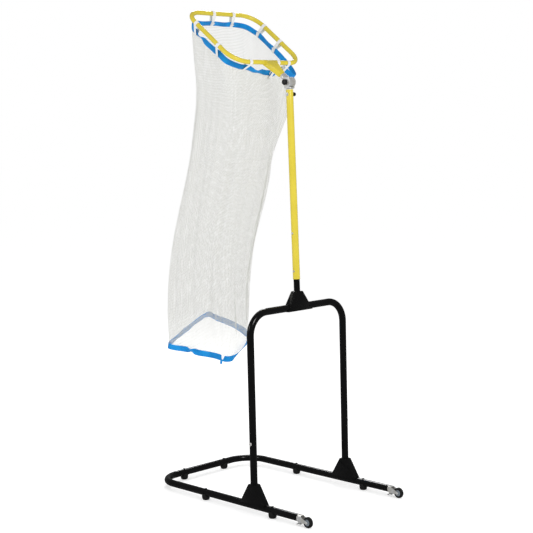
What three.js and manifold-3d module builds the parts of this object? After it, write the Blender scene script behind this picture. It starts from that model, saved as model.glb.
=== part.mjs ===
// Ball-catching net stand. Millimetres, +Z up, origin on the floor under the middle of the whole object.
// A square tube hoop, tilted on top of a post, holds a long open net. It drops balls over the
// closed end of the base, a U of round tube with a fixed wheel on each open end.
import * as THREE from 'three';
import { mergeVertices } from 'three/addons/utils/BufferGeometryUtils.js';
import Module from 'manifold-3d';

const wasm = await Module();
wasm.setup();

// ---- driving dimensions ----
const GAP = 0.3; // clearance between pieces that touch
const WALL = 1.6; // wall of the round tubes
const TUBE_R = 17; // outer radius of the base, upright and post tubes
const BASE_HALF = 317; // legs and uprights, each side of the middle
const BASE_CLOSED = 712; // closed end of the base, ahead of the uprights
const BASE_OPEN = 289; // open ends of the legs, behind the uprights
const BASE_BEND = 125; // radius of the base's two corners
const BASE_Z = 36; // height of the base tube's centre line
const BAR_Z = 942; // height of the crossbar's centre line
const BAR_BEND = 105; // radius of the upright frame's two corners
const FOOT_REAR = 119; // rubber feet: behind the uprights,
const FOOT_FRONT = 344; // ahead of them,
const FOOT_CROSS = 139; // and each side of the middle on the closed end
const GUSSET_SHEET = 2; // folded sheet of the three black gussets
const BOLT_HOLE_R = 3.4; // through the tubes, for a 6 mm bolt
const SPIGOT_TOP = 430; // top of the spigot inside each upright
const UPRIGHT_BOLT_Z = 332;
const LEAN = THREE.MathUtils.degToRad(1.2); // the post leans this much towards the hoop
const POST_FROM = 134; // along the post, from the crossbar's centre line: foot of the yellow tube,
const POST_TO = 1033; // its top,
const STUB_TO = 240; // top of the black stub inside it,
const POLE_FROM = 560; // foot of the sliding inner pole,
const TILT_AT = 1068; // and the tilt pivot
const STUB_R = 15;
const POLE_R = 12.5;
const SCREW_AT = 1011; // the height screw and its opposite guide bolt
const POST_BOLTS = [172, 353];
const TILT = THREE.MathUtils.degToRad(37);
const COLLAR_R = 14.5; // collar of the tilt joint's tongue, round the end of the hoop's stem
const SOCKET_AT = 34; // foot of the socket in that collar, from the tilt pivot
const HOOP_REACH = 378; // tilt pivot to the hoop's middle
const HOOP_R = 11; // radius of the hoop's tube
const HOOP_HALF_X = 213; // hoop centre line, half its length along the slope
const HOOP_HALF_Y = 228; // and half its width
const HOOP_BEND = 92;
const HEM_IN = 20; // the top hem hangs this far inside the hoop's centre line
const HEM_TOP = -30; // and between these distances under it
const HEM_FOOT = -58;
const STRAP_WIDTH = 18;
const NET_WALL = 1.6;
const NET_HEM = 30; // height of the bottom hem
const NET_SLOPE = 0.225; // how far the net leans from the post, per millimetre of drop
const NET_RING = [160, 190]; // half sizes of the ring that the net is drawn from,
const NET_BEND = 92; // and its corner radius
const NET_CROWN = [150, 196]; // half sizes of the net at its upper edge,
const NET_MIDDLE = [172, 182]; // and lower down
// Corners of the net's four-sided foot: [X, Y] from the line of its lean, and height of the hem's lower edge.
const NET_FOOT = {
  left: [-81, -200, 688], front: [274, -80, 626], right: [172, 133, 716], back: [-185, 148, 816],
};
const WHEEL_R = 25;
const WHEEL_X = 347;
const FORK_HALF = 14; // half the width of a wheel's bracket
const PEDAL_X = BASE_OPEN + 22; // pin of a wheel's foot brake
const PEDAL_Z = 17;

// ---- materials ----
function paint(color, roughness, metalness) {
  return new THREE.MeshStandardMaterial({ color, roughness, metalness });
}

const BLACK = paint(0x101010, 0.35, 0.3);
const YELLOW = paint(0xe2cb3c, 0.4, 0.2);
const ZINC = paint(0xb9bbb8, 0.3, 0.9);
const RUBBER = paint(0x151515, 0.8, 0);
const PLASTIC_BLACK = paint(0x161616, 0.5, 0);
const PLASTIC_GREY = paint(0x8f9599, 0.5, 0);
const PLASTIC_WHITE = paint(0xe6e4df, 0.5, 0);
const NET_WHITE = paint(0xe8e8e2, 0.9, 0);
const TAPE_BLUE = paint(0x0a78d8, 0.7, 0);
const STRAP_WHITE = paint(0xefefee, 0.8, 0);

// ---- solids ----
function toSolid(geometry) {
  const bare = geometry.clone();
  bare.deleteAttribute('normal');
  bare.deleteAttribute('uv');
  const merged = mergeVertices(bare, 1e-4);
  return new wasm.Manifold(new wasm.Mesh({
    numProp: 3,
    vertProperties: new Float32Array(merged.attributes.position.array),
    triVerts: new Uint32Array(merged.index.array),
  }));
}

function toGeometry(solid) {
  const mesh = solid.getMesh();
  const geometry = new THREE.BufferGeometry();
  geometry.setAttribute('position', new THREE.BufferAttribute(mesh.vertProperties, 3));
  geometry.setIndex(new THREE.BufferAttribute(mesh.triVerts, 1));
  return geometry;
}

const join = (...parts) => toGeometry(parts.map(toSolid).reduce((a, b) => a.add(b)));
const cut = (part, ...tools) => toGeometry(tools.map(toSolid).reduce((a, b) => a.subtract(b), toSolid(part)));

// A cylinder whose centre is at (x, y, z), lying along one axis.
function rod(axis, radius, length, [x, y, z], sides = 16) {
  const geometry = new THREE.CylinderGeometry(radius, radius, length, sides);
  if (axis === 'x') geometry.rotateZ(-Math.PI / 2);
  if (axis === 'z') geometry.rotateX(Math.PI / 2);
  return geometry.translate(x, y, z);
}

function block([x0, x1], [y0, y1], [z0, z1]) {
  const geometry = new THREE.BoxGeometry(x1 - x0, y1 - y0, z1 - z0);
  return geometry.translate((x0 + x1) / 2, (y0 + y1) / 2, (z0 + z1) / 2);
}

// A turned piece about +Z from [radius, height] points that start and end on the axis or close on themselves.
function turned(profile, sides = 16) {
  const points = profile.map(([radius, height]) => new THREE.Vector2(radius, height));
  return new THREE.LatheGeometry(points, sides).rotateX(Math.PI / 2);
}

// A hollow turned piece: a ring of the given outline.
const sleeve = (inner, outer, from, to, sides) =>
  turned([[inner, from], [outer, from], [outer, to], [inner, to], [inner, from]], sides);

// A flat outline in the X-Z plane, extruded along Y between two values.
function plateXZ(points, [y0, y1], curveSegments = 3) {
  const drawn = () => new THREE.Shape(points.map(([x, z]) => new THREE.Vector2(x, z)));
  const shape = points instanceof THREE.Shape ? points : drawn();
  const geometry = new THREE.ExtrudeGeometry(shape, { depth: y1 - y0, bevelEnabled: false, curveSegments });
  return geometry.rotateX(Math.PI / 2).translate(0, y1, 0);
}

// ---- bent round tube ----
// A path of straight runs and arcs, sampled only where it bends.
class BentPath extends THREE.Curve {
  constructor(stations) {
    super();
    this.stations = stations;
  }

  getPoint(t, target = new THREE.Vector3()) {
    return target.copy(this.stations[Math.round(t * (this.stations.length - 1))].point);
  }

  getTangent(t, target = new THREE.Vector3()) {
    return target.copy(this.stations[Math.round(t * (this.stations.length - 1))].tangent);
  }

  getPointAt(u, target) {
    return this.getPoint(u, target);
  }

  getTangentAt(u, target) {
    return this.getTangent(u, target);
  }
}

// Stations of a U: a straight run, a bend, the crosspiece, a bend and a straight run back.
// `along` runs from the open end to the closed end, `across` from one leg to the other.
function bentU({ half, open, closed, bend, along, across, offset, arcSteps = 7 }) {
  const stations = [];
  const station = (a, c, ta, tc) => {
    const point = along.clone().multiplyScalar(a).addScaledVector(across, c).add(offset);
    const tangent = along.clone().multiplyScalar(ta).addScaledVector(across, tc).normalize();
    stations.push({ point, tangent });
  };
  station(open, -half, 1, 0);
  for (const side of [-1, 1]) {
    for (let i = 0; i <= arcSteps; i += 1) {
      const step = side < 0 ? i : arcSteps - i;
      const angle = (step / arcSteps) * Math.PI / 2;
      const a = closed - bend + bend * Math.sin(angle);
      const c = side * (half - bend + bend * Math.cos(angle));
      station(a, c, -side * Math.cos(angle), Math.sin(angle));
    }
  }
  station(open, half, -1, 0);
  return new BentPath(stations);
}

function pipe(path, outer, inner, curveSegments = 8) {
  const ring = new THREE.Shape().absarc(0, 0, outer, 0, 2 * Math.PI, false);
  ring.holes.push(new THREE.Path().absarc(0, 0, inner, 0, 2 * Math.PI, true));
  const steps = path.stations.length - 1;
  return new THREE.ExtrudeGeometry(ring, { steps, extrudePath: path, bevelEnabled: false, curveSegments });
}

// ---- folded sheet gusset ----
// Two triangular cheeks joined by two sloping flanges, open at the top and at the foot.
// It stands on the origin, with its cheeks facing +Y and -Y, `inside` apart.
function foldedGusset({ foot, top, from, to, inside, sheet = GUSSET_SHEET }) {
  const slope = (foot - top) / (to - from);
  const flange = sheet * Math.hypot(1, slope);
  const outline = (extra, inset) => [
    [-foot - slope * extra + inset, from - extra],
    [foot + slope * extra - inset, from - extra],
    [top - slope * extra - inset, to + extra],
    [-top + slope * extra + inset, to + extra],
  ];
  const outer = plateXZ(outline(0, 0), [-inside / 2 - sheet, inside / 2 + sheet]);
  const inner = plateXZ(outline(5, flange), [-inside / 2, inside / 2]);
  return cut(outer, inner);
}

// ---- assembly ----
const object = new THREE.Group();
const stand = new THREE.Group(); // everything, with X = 0 at the uprights; moved to the origin at the end
const mast = new THREE.Group(); // follows the post, from the crossbar's centre line
const head = new THREE.Group(); // follows the hoop, from the tilt pivot, with the hoop towards -X
mast.position.z = BAR_Z;
mast.rotation.y = -LEAN;
head.position.set(-TILT_AT * Math.sin(LEAN), 0, BAR_Z + TILT_AT * Math.cos(LEAN));
head.rotation.y = TILT;
object.add(stand);
stand.add(mast, head);

function add(group, name, geometry, material) {
  const mesh = new THREE.Mesh(geometry, material);
  mesh.name = name;
  group.add(mesh);
  return mesh;
}

const X = new THREE.Vector3(1, 0, 0);
const Y = new THREE.Vector3(0, 1, 0);
const Z = new THREE.Vector3(0, 0, 1);
const SIDES = [['near', -1], ['far', 1]];

// A dome-headed bolt along an axis: the head's underside is at the origin, the head towards +Z.
const domeBolt = (headR, headH, shankR, length) => turned([
  [0, -length], [shankR, -length], [shankR, 0], [headR, 0], [headR, headH * 0.3],
  [headR * 0.86, headH * 0.68], [headR * 0.5, headH * 0.94], [0, headH],
], 10);

function baseFrame() {
  const path = bentU({
    half: BASE_HALF, open: -BASE_OPEN, closed: BASE_CLOSED, bend: BASE_BEND,
    along: X.clone().negate(), across: Y, offset: new THREE.Vector3(0, 0, BASE_Z),
  });
  add(stand, 'base_tube', pipe(path, TUBE_R, TUBE_R - WALL), BLACK);
  for (const [side, sign] of SIDES) {
    const y = sign * BASE_HALF;
    const saddle = rod('x', TUBE_R + GAP, 400, [0, y, BASE_Z]);
    const gusset = foldedGusset({
      foot: 80, top: 20, from: BASE_Z + 9, to: 140, inside: 2 * (TUBE_R + GAP),
    }).translate(0, y, 0);
    add(stand, `foot_gusset_${side}`, cut(gusset, saddle), BLACK);
    const spigotR = TUBE_R - WALL - GAP;
    const spigot = sleeve(spigotR - 2, spigotR, BASE_Z, SPIGOT_TOP).translate(0, y, 0);
    const boltHole = rod('y', BOLT_HOLE_R, 60, [0, y, UPRIGHT_BOLT_Z], 12);
    add(stand, `leg_spigot_${side}`, cut(spigot, saddle, boltHole), ZINC);
    const bolt = domeBolt(7, 4.5, 3.1, 30).rotateX(-sign * Math.PI / 2);
    bolt.translate(0, y + sign * (TUBE_R + GAP), UPRIGHT_BOLT_Z);
    add(stand, `upright_bolt_${side}`, bolt, ZINC);
  }
}

function uprightFrame() {
  const foot = BASE_Z + 18.5;
  const path = bentU({
    half: BASE_HALF, open: foot, closed: BAR_Z, bend: BAR_BEND,
    along: Z, across: Y, offset: new THREE.Vector3(0, 0, 0),
  });
  const holes = SIDES.map(([, sign]) => rod('y', BOLT_HOLE_R, 60, [0, sign * BASE_HALF, UPRIGHT_BOLT_Z], 12));
  add(stand, 'upright_frame', cut(pipe(path, TUBE_R, TUBE_R - WALL), ...holes), BLACK);
}

function feet() {
  const places = [
    ['rear_near', FOOT_REAR, -BASE_HALF], ['rear_far', FOOT_REAR, BASE_HALF],
    ['front_near', -FOOT_FRONT, -BASE_HALF], ['front_far', -FOOT_FRONT, BASE_HALF],
    ['cross_near', -BASE_CLOSED, -FOOT_CROSS], ['cross_far', -BASE_CLOSED, FOOT_CROSS],
  ];
  const profile = [[0, 0], [13, 0], [16.5, 2.5], [19.6, 14], [20, BASE_Z - 4], [0, BASE_Z - 4]];
  const nut = turned([[0, 0], [6.5, 0], [6.5, 1.5], [5.6, 3.2], [3.2, 4.3], [0, 4.6]], 10);
  for (const [place, x, y] of places) {
    const axis = x === -BASE_CLOSED ? 'y' : 'x';
    const saddle = rod(axis, TUBE_R + GAP, 80, [0, 0, BASE_Z]);
    add(stand, `foot_${place}`, cut(turned(profile, 16), saddle), RUBBER).position.set(x, y, 0);
    add(stand, `foot_bolt_${place}`, nut, BLACK).position.set(x, y, BASE_Z + TUBE_R + GAP);
  }
}

// A fixed wheel at the end of a leg: plug and side plates, tyre, hub, axle and a foot brake.
function wheels() {
  const plate = new THREE.Shape();
  plate.moveTo(BASE_OPEN + 1, BASE_Z + 16);
  plate.lineTo(WHEEL_X - 14, BASE_Z + 16);
  plate.lineTo(WHEEL_X + 8, WHEEL_R + 7);
  plate.absarc(WHEEL_X, WHEEL_R, 10, Math.PI / 4, -Math.PI / 2, true);
  plate.lineTo(BASE_OPEN + 18, BASE_Z - 26);
  plate.lineTo(BASE_OPEN + 1, BASE_Z - 14);
  plate.closePath();
  for (const [side, sign] of SIDES) {
    const y = sign * BASE_HALF;
    const plug = rod('x', TUBE_R - WALL - GAP, 40, [BASE_OPEN - 18, 0, BASE_Z]);
    const flange = rod('x', TUBE_R, 4, [BASE_OPEN + GAP + 2, 0, BASE_Z]);
    const back = block([BASE_OPEN + 2, BASE_OPEN + 12], [-FORK_HALF, FORK_HALF], [BASE_Z - 14, BASE_Z + 16]);
    const hood = block([BASE_OPEN + 2, WHEEL_X - 18], [-FORK_HALF, FORK_HALF], [BASE_Z + 15.5, BASE_Z + 18]);
    const plates = [[-FORK_HALF, -11.5], [11.5, FORK_HALF]].map((range) => plateXZ(plate, range));
    const shell = join(plug, flange, back, ...plates, hood);
    const axleHole = rod('y', 3.5, 60, [WHEEL_X, 0, WHEEL_R], 16);
    const brakeHole = rod('y', 2.3, 60, [PEDAL_X, 0, PEDAL_Z], 12);
    add(stand, `wheel_bracket_${side}`, cut(shell, axleHole, brakeHole).translate(0, y, 0), ZINC);
    const tyre = turned([
      [15.3, -9], [22, -9], [WHEEL_R, -5], [WHEEL_R, 5], [22, 9], [15.3, 9], [15.3, -9],
    ], 28);
    const hub = turned([
      [3.5, -10.8], [8, -10.8], [8.6, -8], [15, -8.6], [15, 8.6], [8.6, 8], [8, 10.8], [3.5, 10.8],
      [3.5, -10.8],
    ], 16);
    add(stand, `tyre_${side}`, tyre.rotateX(Math.PI / 2).translate(WHEEL_X, y, WHEEL_R), RUBBER);
    add(stand, `hub_${side}`, hub.rotateX(Math.PI / 2).translate(WHEEL_X, y, WHEEL_R), PLASTIC_GREY);
    const axle = turned([
      [0, -17], [3.1, -17], [3.1, 14.3], [6, 14.3], [6, 17], [0, 19],
    ], 12);
    add(stand, `axle_${side}`, axle.rotateX(Math.PI / 2).translate(WHEEL_X, y, WHEEL_R), ZINC);
    add(stand, `brake_lever_${side}`, brakeLever(), BLACK).position.set(PEDAL_X, y, PEDAL_Z);
  }
}

// A sheet pedal on its own pin, from the pin at the origin towards -X and down.
function brakeLever() {
  const pedal = plateXZ([
    [-4, -3.4], [-26, -11.5], [-30, -11.4], [-30.6, -9], [-27, -8.4], [-5, 0.6], [4, 4.6], [10.6, 4.5],
    [9, -1],
  ], [-8, 8]);
  return join(pedal, rod('y', 3.4, 22, [0, 0, 0], 10), rod('y', 2, 33, [0, 0, 0], 8));
}

function mastPieces() {
  const crossbar = rod('y', TUBE_R + GAP, 500, [0, 0, 0]);
  const gusset = foldedGusset({
    foot: 84, top: 20, from: -TUBE_R, to: 76, inside: 2 * (TUBE_R + GAP),
  }).rotateZ(Math.PI / 2);
  add(mast, 'top_gusset', cut(gusset, crossbar), BLACK);
  const boltHole = (at) => rod('y', BOLT_HOLE_R, 40, [0, -20, at], 12);
  const stub = sleeve(STUB_R - WALL, STUB_R, 0, STUB_TO);
  add(mast, 'post_stub', cut(stub, crossbar, boltHole(POST_BOLTS[0])), BLACK);
  const post = sleeve(STUB_R + GAP, TUBE_R, POST_FROM, POST_TO, 20);
  const screwHole = rod('y', 4.4, 80, [0, 0, SCREW_AT], 14);
  add(mast, 'post_tube', cut(post, ...POST_BOLTS.map(boltHole), screwHole), YELLOW);
  POST_BOLTS.forEach((at, i) => {
    const bolt = domeBolt(5.5, 3.2, 3.1, i === 0 ? 6 : 3).rotateX(Math.PI / 2);
    bolt.translate(0, -TUBE_R - GAP, at);
    add(mast, `post_bolt_${['lower', 'upper'][i]}`, bolt, ZINC);
  });
  const bush = turned([
    [POLE_R + GAP, POST_TO - 44], [STUB_R, POST_TO - 44], [STUB_R, POST_TO + GAP], [TUBE_R, POST_TO + GAP],
    [TUBE_R - 0.6, POST_TO + 3], [POLE_R + GAP, POST_TO + 3], [POLE_R + GAP, POST_TO - 44],
  ], 20);
  add(mast, 'post_bush', cut(bush, screwHole), PLASTIC_WHITE);
  // guide bolt with its washer on the near side, height screw with its knob on the far side
  const guide = turned([
    [0, -4.2], [4, -4.2], [4, 0], [8.5, 0], [8.5, 1.6], [6, 1.6], [6, 4.2], [0, 6],
  ], 14);
  add(mast, 'guide_bolt', guide.rotateX(Math.PI / 2).translate(0, -TUBE_R - GAP, SCREW_AT), ZINC);
  const screw = turned([
    [0, -4.2], [4, -4.2], [4, 2], [7, 2], [9.5, 4.5], [9.5, 15], [7, 18], [0, 18.6],
  ], 14);
  add(mast, 'height_knob', screw.rotateX(-Math.PI / 2).translate(0, TUBE_R + GAP, SCREW_AT), PLASTIC_BLACK);
  add(mast, 'inner_pole', sleeve(POLE_R - WALL, POLE_R, POLE_FROM, TILT_AT - 31), ZINC);
}

// The tilt joint: a fork on the pole, a tongue on the hoop's stem, a bolt through both and its knob.
function tiltJoint() {
  const R = 24;
  const bore = rod('y', 5.3, 80, [0, 0, 0], 16);
  const neck = (y) => block([-14, 14], [y - 4.8, y + 4.8], [-30, -14]);
  const cheek = (y) => join(rod('y', R, 9.6, [0, y, 0], 20), neck(y));
  const plate = rod('z', 19.6, 5, [0, 0, -28], 20);
  const fork = cut(join(cheek(-14.8), cheek(14.8), plate), bore);
  add(mast, 'tilt_fork', fork.translate(0, 0, TILT_AT), ZINC);
  const tongue = join(
    rod('y', R - 1.5, 19.2, [0, 0, 0], 20),
    block([-32, 0], [-9.6, 9.6], [-10, 10]),
    rod('x', COLLAR_R, 22, [-42, 0, 0], 16),
  );
  const socket = rod('x', HOOP_R + GAP, 20, [-SOCKET_AT - 10, 0, 0], 16);
  add(head, 'tilt_tongue', cut(tongue, bore, socket), ZINC);
  const bolt = turned([
    [0, -24.5], [5, -24.5], [5, 20], [9, 20], [9, 23], [7, 26], [0, 26],
  ], 16);
  add(mast, 'tilt_bolt', bolt.rotateX(-Math.PI / 2).translate(0, 0, TILT_AT), ZINC);
  const knob = turned([
    [0, 25], [5.3, 25], [5.3, 20.2], [13, 20.2], [14, 22], [14, 36], [12, 39], [7, 39], [7, 36], [0, 36],
  ], 16);
  add(mast, 'tilt_knob', knob.rotateX(Math.PI / 2).translate(0, 0, TILT_AT), PLASTIC_BLACK);
}

// ---- hoop ----
// A ring of round section whose centre line is a rounded rectangle: a torus with its quarters moved apart.
function roundedRing(sectionR, sides, arcSteps = 6) {
  const rings = 4 * (arcSteps + 1);
  const geometry = new THREE.TorusGeometry(HOOP_BEND, sectionR, sides, rings);
  const position = geometry.attributes.position;
  for (let j = 0; j <= sides; j += 1) {
    for (let i = 0; i <= rings; i += 1) {
      const ring = i % rings;
      const quarter = Math.floor(ring / (arcSteps + 1));
      const angle = (quarter + (ring % (arcSteps + 1)) / arcSteps) * Math.PI / 2;
      const radius = HOOP_BEND + sectionR * Math.cos((j / sides) * 2 * Math.PI);
      const height = sectionR * Math.sin((j / sides) * 2 * Math.PI);
      const shiftX = (quarter === 0 || quarter === 3 ? 1 : -1) * (HOOP_HALF_X - HOOP_BEND);
      const shiftY = (quarter < 2 ? 1 : -1) * (HOOP_HALF_Y - HOOP_BEND);
      const x = radius * Math.cos(angle) + shiftX;
      const y = radius * Math.sin(angle) + shiftY;
      position.setXYZ(j * (rings + 1) + i, x, y, height);
    }
  }
  return geometry;
}

function roundedRect(halfX, halfY, radius) {
  const outline = new THREE.Path();
  const [x, y] = [halfX - radius, halfY - radius];
  outline.absarc(x, y, radius, 0, Math.PI / 2, false);
  outline.absarc(-x, y, radius, Math.PI / 2, Math.PI, false);
  outline.absarc(-x, -y, radius, Math.PI, 1.5 * Math.PI, false);
  outline.absarc(x, -y, radius, 1.5 * Math.PI, 2 * Math.PI, false);
  outline.closePath();
  return outline;
}

// A thin-walled ring of rounded-rectangle outline, one unit tall in `steps` layers.
// Its two walls are split along the same diagonals, so they stay parallel when the ring is twisted.
function wallRing(halfX, halfY, radius, wall, steps, curveSegments) {
  const outer = roundedRect(halfX, halfY, radius).getPoints(curveSegments).slice(0, -1);
  const inner = roundedRect(halfX - wall, halfY - wall, radius - wall).getPoints(curveSegments).slice(0, -1);
  const count = outer.length;
  const points = [];
  const faces = [];
  for (let k = 0; k <= steps; k += 1) {
    for (const point of [...outer, ...inner]) points.push(point.x, point.y, k / steps);
  }
  const quad = (a, b, c, d, flip) => faces.push(...(flip ? [a, c, b, a, d, c] : [a, b, c, a, c, d]));
  for (let i = 0; i < count; i += 1) {
    const j = (i + 1) % count;
    for (let k = 0; k < steps; k += 1) {
      const [low, high] = [2 * count * k, 2 * count * (k + 1)];
      quad(low + i, low + j, high + j, high + i, false);
      quad(low + count + i, low + count + j, high + count + j, high + count + i, true);
    }
    const top = 2 * count * steps;
    quad(i, j, count + j, count + i, true);
    quad(top + i, top + j, top + count + j, top + count + i, false);
  }
  const geometry = new THREE.BufferGeometry();
  geometry.setAttribute('position', new THREE.Float32BufferAttribute(points, 3));
  geometry.setIndex(faces);
  return geometry;
}

// The outline of a band pulled tight round several circles [x, y, radius].
function tightBand(circles) {
  const points = [];
  for (const [x, y, radius] of circles) {
    const count = radius > 8 ? 14 : 6;
    for (let i = 0; i < count; i += 1) {
      const angle = (i / count) * 2 * Math.PI;
      points.push(new THREE.Vector2(x + radius * Math.cos(angle), y + radius * Math.sin(angle)));
    }
  }
  points.sort((a, b) => a.x - b.x || a.y - b.y);
  const turn = (o, a, b) => (a.x - o.x) * (b.y - o.y) - (a.y - o.y) * (b.x - o.x);
  const chain = (list) => {
    const hull = [];
    for (const point of list) {
      while (hull.length > 1 && turn(hull[hull.length - 2], hull[hull.length - 1], point) <= 1e-9) hull.pop();
      hull.push(point);
    }
    return hull.slice(0, -1);
  };
  return [...chain(points), ...chain([...points].reverse())];
}

// A strap loop round the hoop's tube at the origin and the hem inside it, towards +X; it is as wide as Y.
function strap() {
  const loops = [0, 1.2].map((extra) => tightBand([
    [0, 0, HOOP_R + 0.4 + extra],
    [HEM_IN, HEM_TOP, 2 + extra],
    [HEM_IN, HEM_FOOT, 2 + extra],
  ]));
  const shape = new THREE.Shape(loops[1]);
  shape.holes.push(new THREE.Path(loops[0]));
  return plateXZ(shape, [-STRAP_WIDTH / 2, STRAP_WIDTH / 2]);
}

// [name, place on the hoop's centre line, direction from the tube to the hem in degrees]
const STRAPS = [
  ['front_near', [-HOOP_HALF_X, -45], 0], ['front_far', [-HOOP_HALF_X, 87], 0],
  ['far_upper', [-112, HOOP_HALF_Y], -90], ['far_lower', [27, HOOP_HALF_Y], -90],
  ['post_far', [HOOP_HALF_X, 126], 180], ['post_middle', [HOOP_HALF_X, 55], 180],
  ['post_near', [HOOP_HALF_X, -126], 180],
  ['near_lower', [82, -HOOP_HALF_Y], 90], ['near_upper', [-106, -HOOP_HALF_Y], 90],
];

function hoop() {
  const middle = new THREE.Group();
  middle.position.x = -HOOP_REACH;
  head.add(middle);
  const vent = rod('x', 3, 12, [HOOP_HALF_X + HOOP_R, 0, 0], 10);
  add(middle, 'hoop_tube', cut(roundedRing(HOOP_R, 14), roundedRing(HOOP_R - WALL, 8), vent), YELLOW);
  const side = HOOP_REACH - HOOP_HALF_X; // from the pivot to the hoop's near side
  const saddle = rod('y', HOOP_R + GAP, 300, [-side, 0, 0]);
  const stem = sleeve(HOOP_R - WALL, HOOP_R, -side, -SOCKET_AT - GAP, 14).rotateY(Math.PI / 2);
  add(head, 'hoop_stem', cut(stem, saddle), YELLOW);
  const bracket = foldedGusset({
    foot: 42, top: 13.5, from: 0, to: side - 62, inside: 2 * (HOOP_R + GAP), sheet: 1.6,
  }).rotateZ(Math.PI / 2).rotateY(Math.PI / 2).translate(-side, 0, 0);
  add(head, 'hoop_bracket', cut(bracket, saddle), YELLOW);
  for (const [name, [x, y], degrees] of STRAPS) {
    const mesh = add(middle, `strap_${name}`, strap(), STRAP_WHITE);
    mesh.position.set(x, y, 0);
    mesh.rotation.z = THREE.MathUtils.degToRad(degrees);
  }
  const hem = wallRing(HOOP_HALF_X - HEM_IN + 1, HOOP_HALF_Y - HEM_IN + 1, 73, 2, 1, 4);
  hem.scale(1, 1, HEM_TOP - HEM_FOOT).translate(0, 0, HEM_FOOT);
  add(middle, 'top_hem', hem, TAPE_BLUE);
}

// ---- net ----
// The net hangs from the middle of the top hem's lower edge, leaning away from the post as it drops.
const hemMiddle = new THREE.Vector3(-HOOP_REACH, 0, HEM_FOOT).applyAxisAngle(Y, TILT).add(head.position);

function leanAt(drop) {
  const past = drop - 180;
  return NET_SLOPE * 0.5 * (past + Math.hypot(past, 120));
}

// A coordinate of the four-sided foot, for shares u and v from -1 to 1 across it.
function footAt(u, v, axis) {
  const near = THREE.MathUtils.lerp(NET_FOOT.left[axis], NET_FOOT.front[axis], (u + 1) / 2);
  const far = THREE.MathUtils.lerp(NET_FOOT.back[axis], NET_FOOT.right[axis], (u + 1) / 2);
  return THREE.MathUtils.lerp(near, far, (v + 1) / 2);
}

// Places the unit-tall ring of the net between two surfaces, turning from the hoop's outline to the foot's.
function hang(geometry, lower, upper) {
  const position = geometry.attributes.position;
  for (let i = 0; i < position.count; i += 1) {
    const [u, v, t] = [position.getX(i) / NET_RING[0], position.getY(i) / NET_RING[1], position.getZ(i)];
    const z = THREE.MathUtils.lerp(lower(u, v), upper(u, v), t);
    const drop = hemMiddle.z - z;
    const settle = THREE.MathUtils.smoothstep(drop, 0, 500);
    const turn = THREE.MathUtils.smoothstep(drop, 500, 1380);
    const crisp = 1 + 0.16 * turn * (u * v) ** 2; // draws the corners out towards the foot
    const [x, y] = [0, 1].map((axis) => {
      const round = THREE.MathUtils.lerp(NET_CROWN[axis], NET_MIDDLE[axis], settle) * [u, v][axis];
      return THREE.MathUtils.lerp(round, footAt(u * crisp, v * crisp, axis), turn);
    });
    position.setXYZ(i, hemMiddle.x - leanAt(drop) + x, y, z);
  }
  return geometry;
}

function net() {
  const foot = (extra) => (u, v) => extra + footAt(u, v, 2);
  const crown = (u) => hemMiddle.z + 100 - 129 * (u + 1);
  const body = wallRing(...NET_RING, NET_BEND, NET_WALL, 10, 4);
  add(stand, 'net_body', hang(body, foot(NET_HEM + 1.2), crown), NET_WHITE);
  const hem = wallRing(NET_RING[0] + 0.4, NET_RING[1] + 0.4, NET_BEND + 0.4, 2.4, 1, 4);
  add(stand, 'bottom_hem', hang(hem, foot(0), foot(NET_HEM)), TAPE_BLUE);
}

baseFrame();
uprightFrame();
feet();
wheels();
mastPieces();
tiltJoint();
hoop();
net();

const bounds = new THREE.Box3().setFromObject(stand);
stand.position.x = -(bounds.min.x + bounds.max.x) / 2;

export default object;
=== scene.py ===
"""Ball-catching net stand: a tilted hoop on a post holds a long net tube over a wheeled base of bent tube.

Shapes are drawn in millimetres, in the frame of the stand (X = 0 at the uprights, +X towards the wheels,
+Z up), of the mast (along the post from the crossbar) or of the hoop, and are placed in metres at the end.
"""

import math
import random

import bpy
import numpy as np
from mathutils import Matrix, Vector


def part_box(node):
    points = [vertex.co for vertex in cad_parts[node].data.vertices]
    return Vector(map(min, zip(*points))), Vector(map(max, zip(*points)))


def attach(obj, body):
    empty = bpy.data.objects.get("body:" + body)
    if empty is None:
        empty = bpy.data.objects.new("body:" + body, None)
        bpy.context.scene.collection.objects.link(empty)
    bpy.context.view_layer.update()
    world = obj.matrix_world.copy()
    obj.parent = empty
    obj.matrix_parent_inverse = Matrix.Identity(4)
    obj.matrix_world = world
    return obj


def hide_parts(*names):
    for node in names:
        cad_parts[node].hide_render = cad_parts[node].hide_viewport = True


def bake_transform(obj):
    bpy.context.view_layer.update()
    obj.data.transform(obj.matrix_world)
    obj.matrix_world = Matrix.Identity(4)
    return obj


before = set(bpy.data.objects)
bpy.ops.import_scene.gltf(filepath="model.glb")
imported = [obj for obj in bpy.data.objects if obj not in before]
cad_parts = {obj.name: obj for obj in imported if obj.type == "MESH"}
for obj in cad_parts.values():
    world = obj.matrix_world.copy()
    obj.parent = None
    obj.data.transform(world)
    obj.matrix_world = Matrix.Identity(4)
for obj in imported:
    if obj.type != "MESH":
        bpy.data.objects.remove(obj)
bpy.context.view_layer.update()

# ---- driving dimensions, in millimetres ----
MM = 0.001
GAP = 0.3
WALL = 1.6
TUBE_R = 17
BASE_HALF = 317
BASE_CLOSED = 712
BASE_OPEN = 289
BASE_BEND = 125
BASE_Z = 36
BAR_Z = 942
BAR_BEND = 105
FOOT_REAR = 119
FOOT_FRONT = 344
FOOT_CROSS = 139
UPRIGHT_BOLT_Z = 332
LEAN = math.radians(1.2)
POST_FROM = 134
POST_TO = 1033
STUB_TO = 240
POLE_FROM = 560
TILT_AT = 1068
STUB_R = 15
POLE_R = 12.5
SCREW_AT = 1011
POST_BOLTS = (("lower", 172), ("upper", 353))
TILT = math.radians(37)
COLLAR_R = 14.5
SOCKET_AT = 34
HOOP_REACH = 378
HOOP_R = 11
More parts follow.
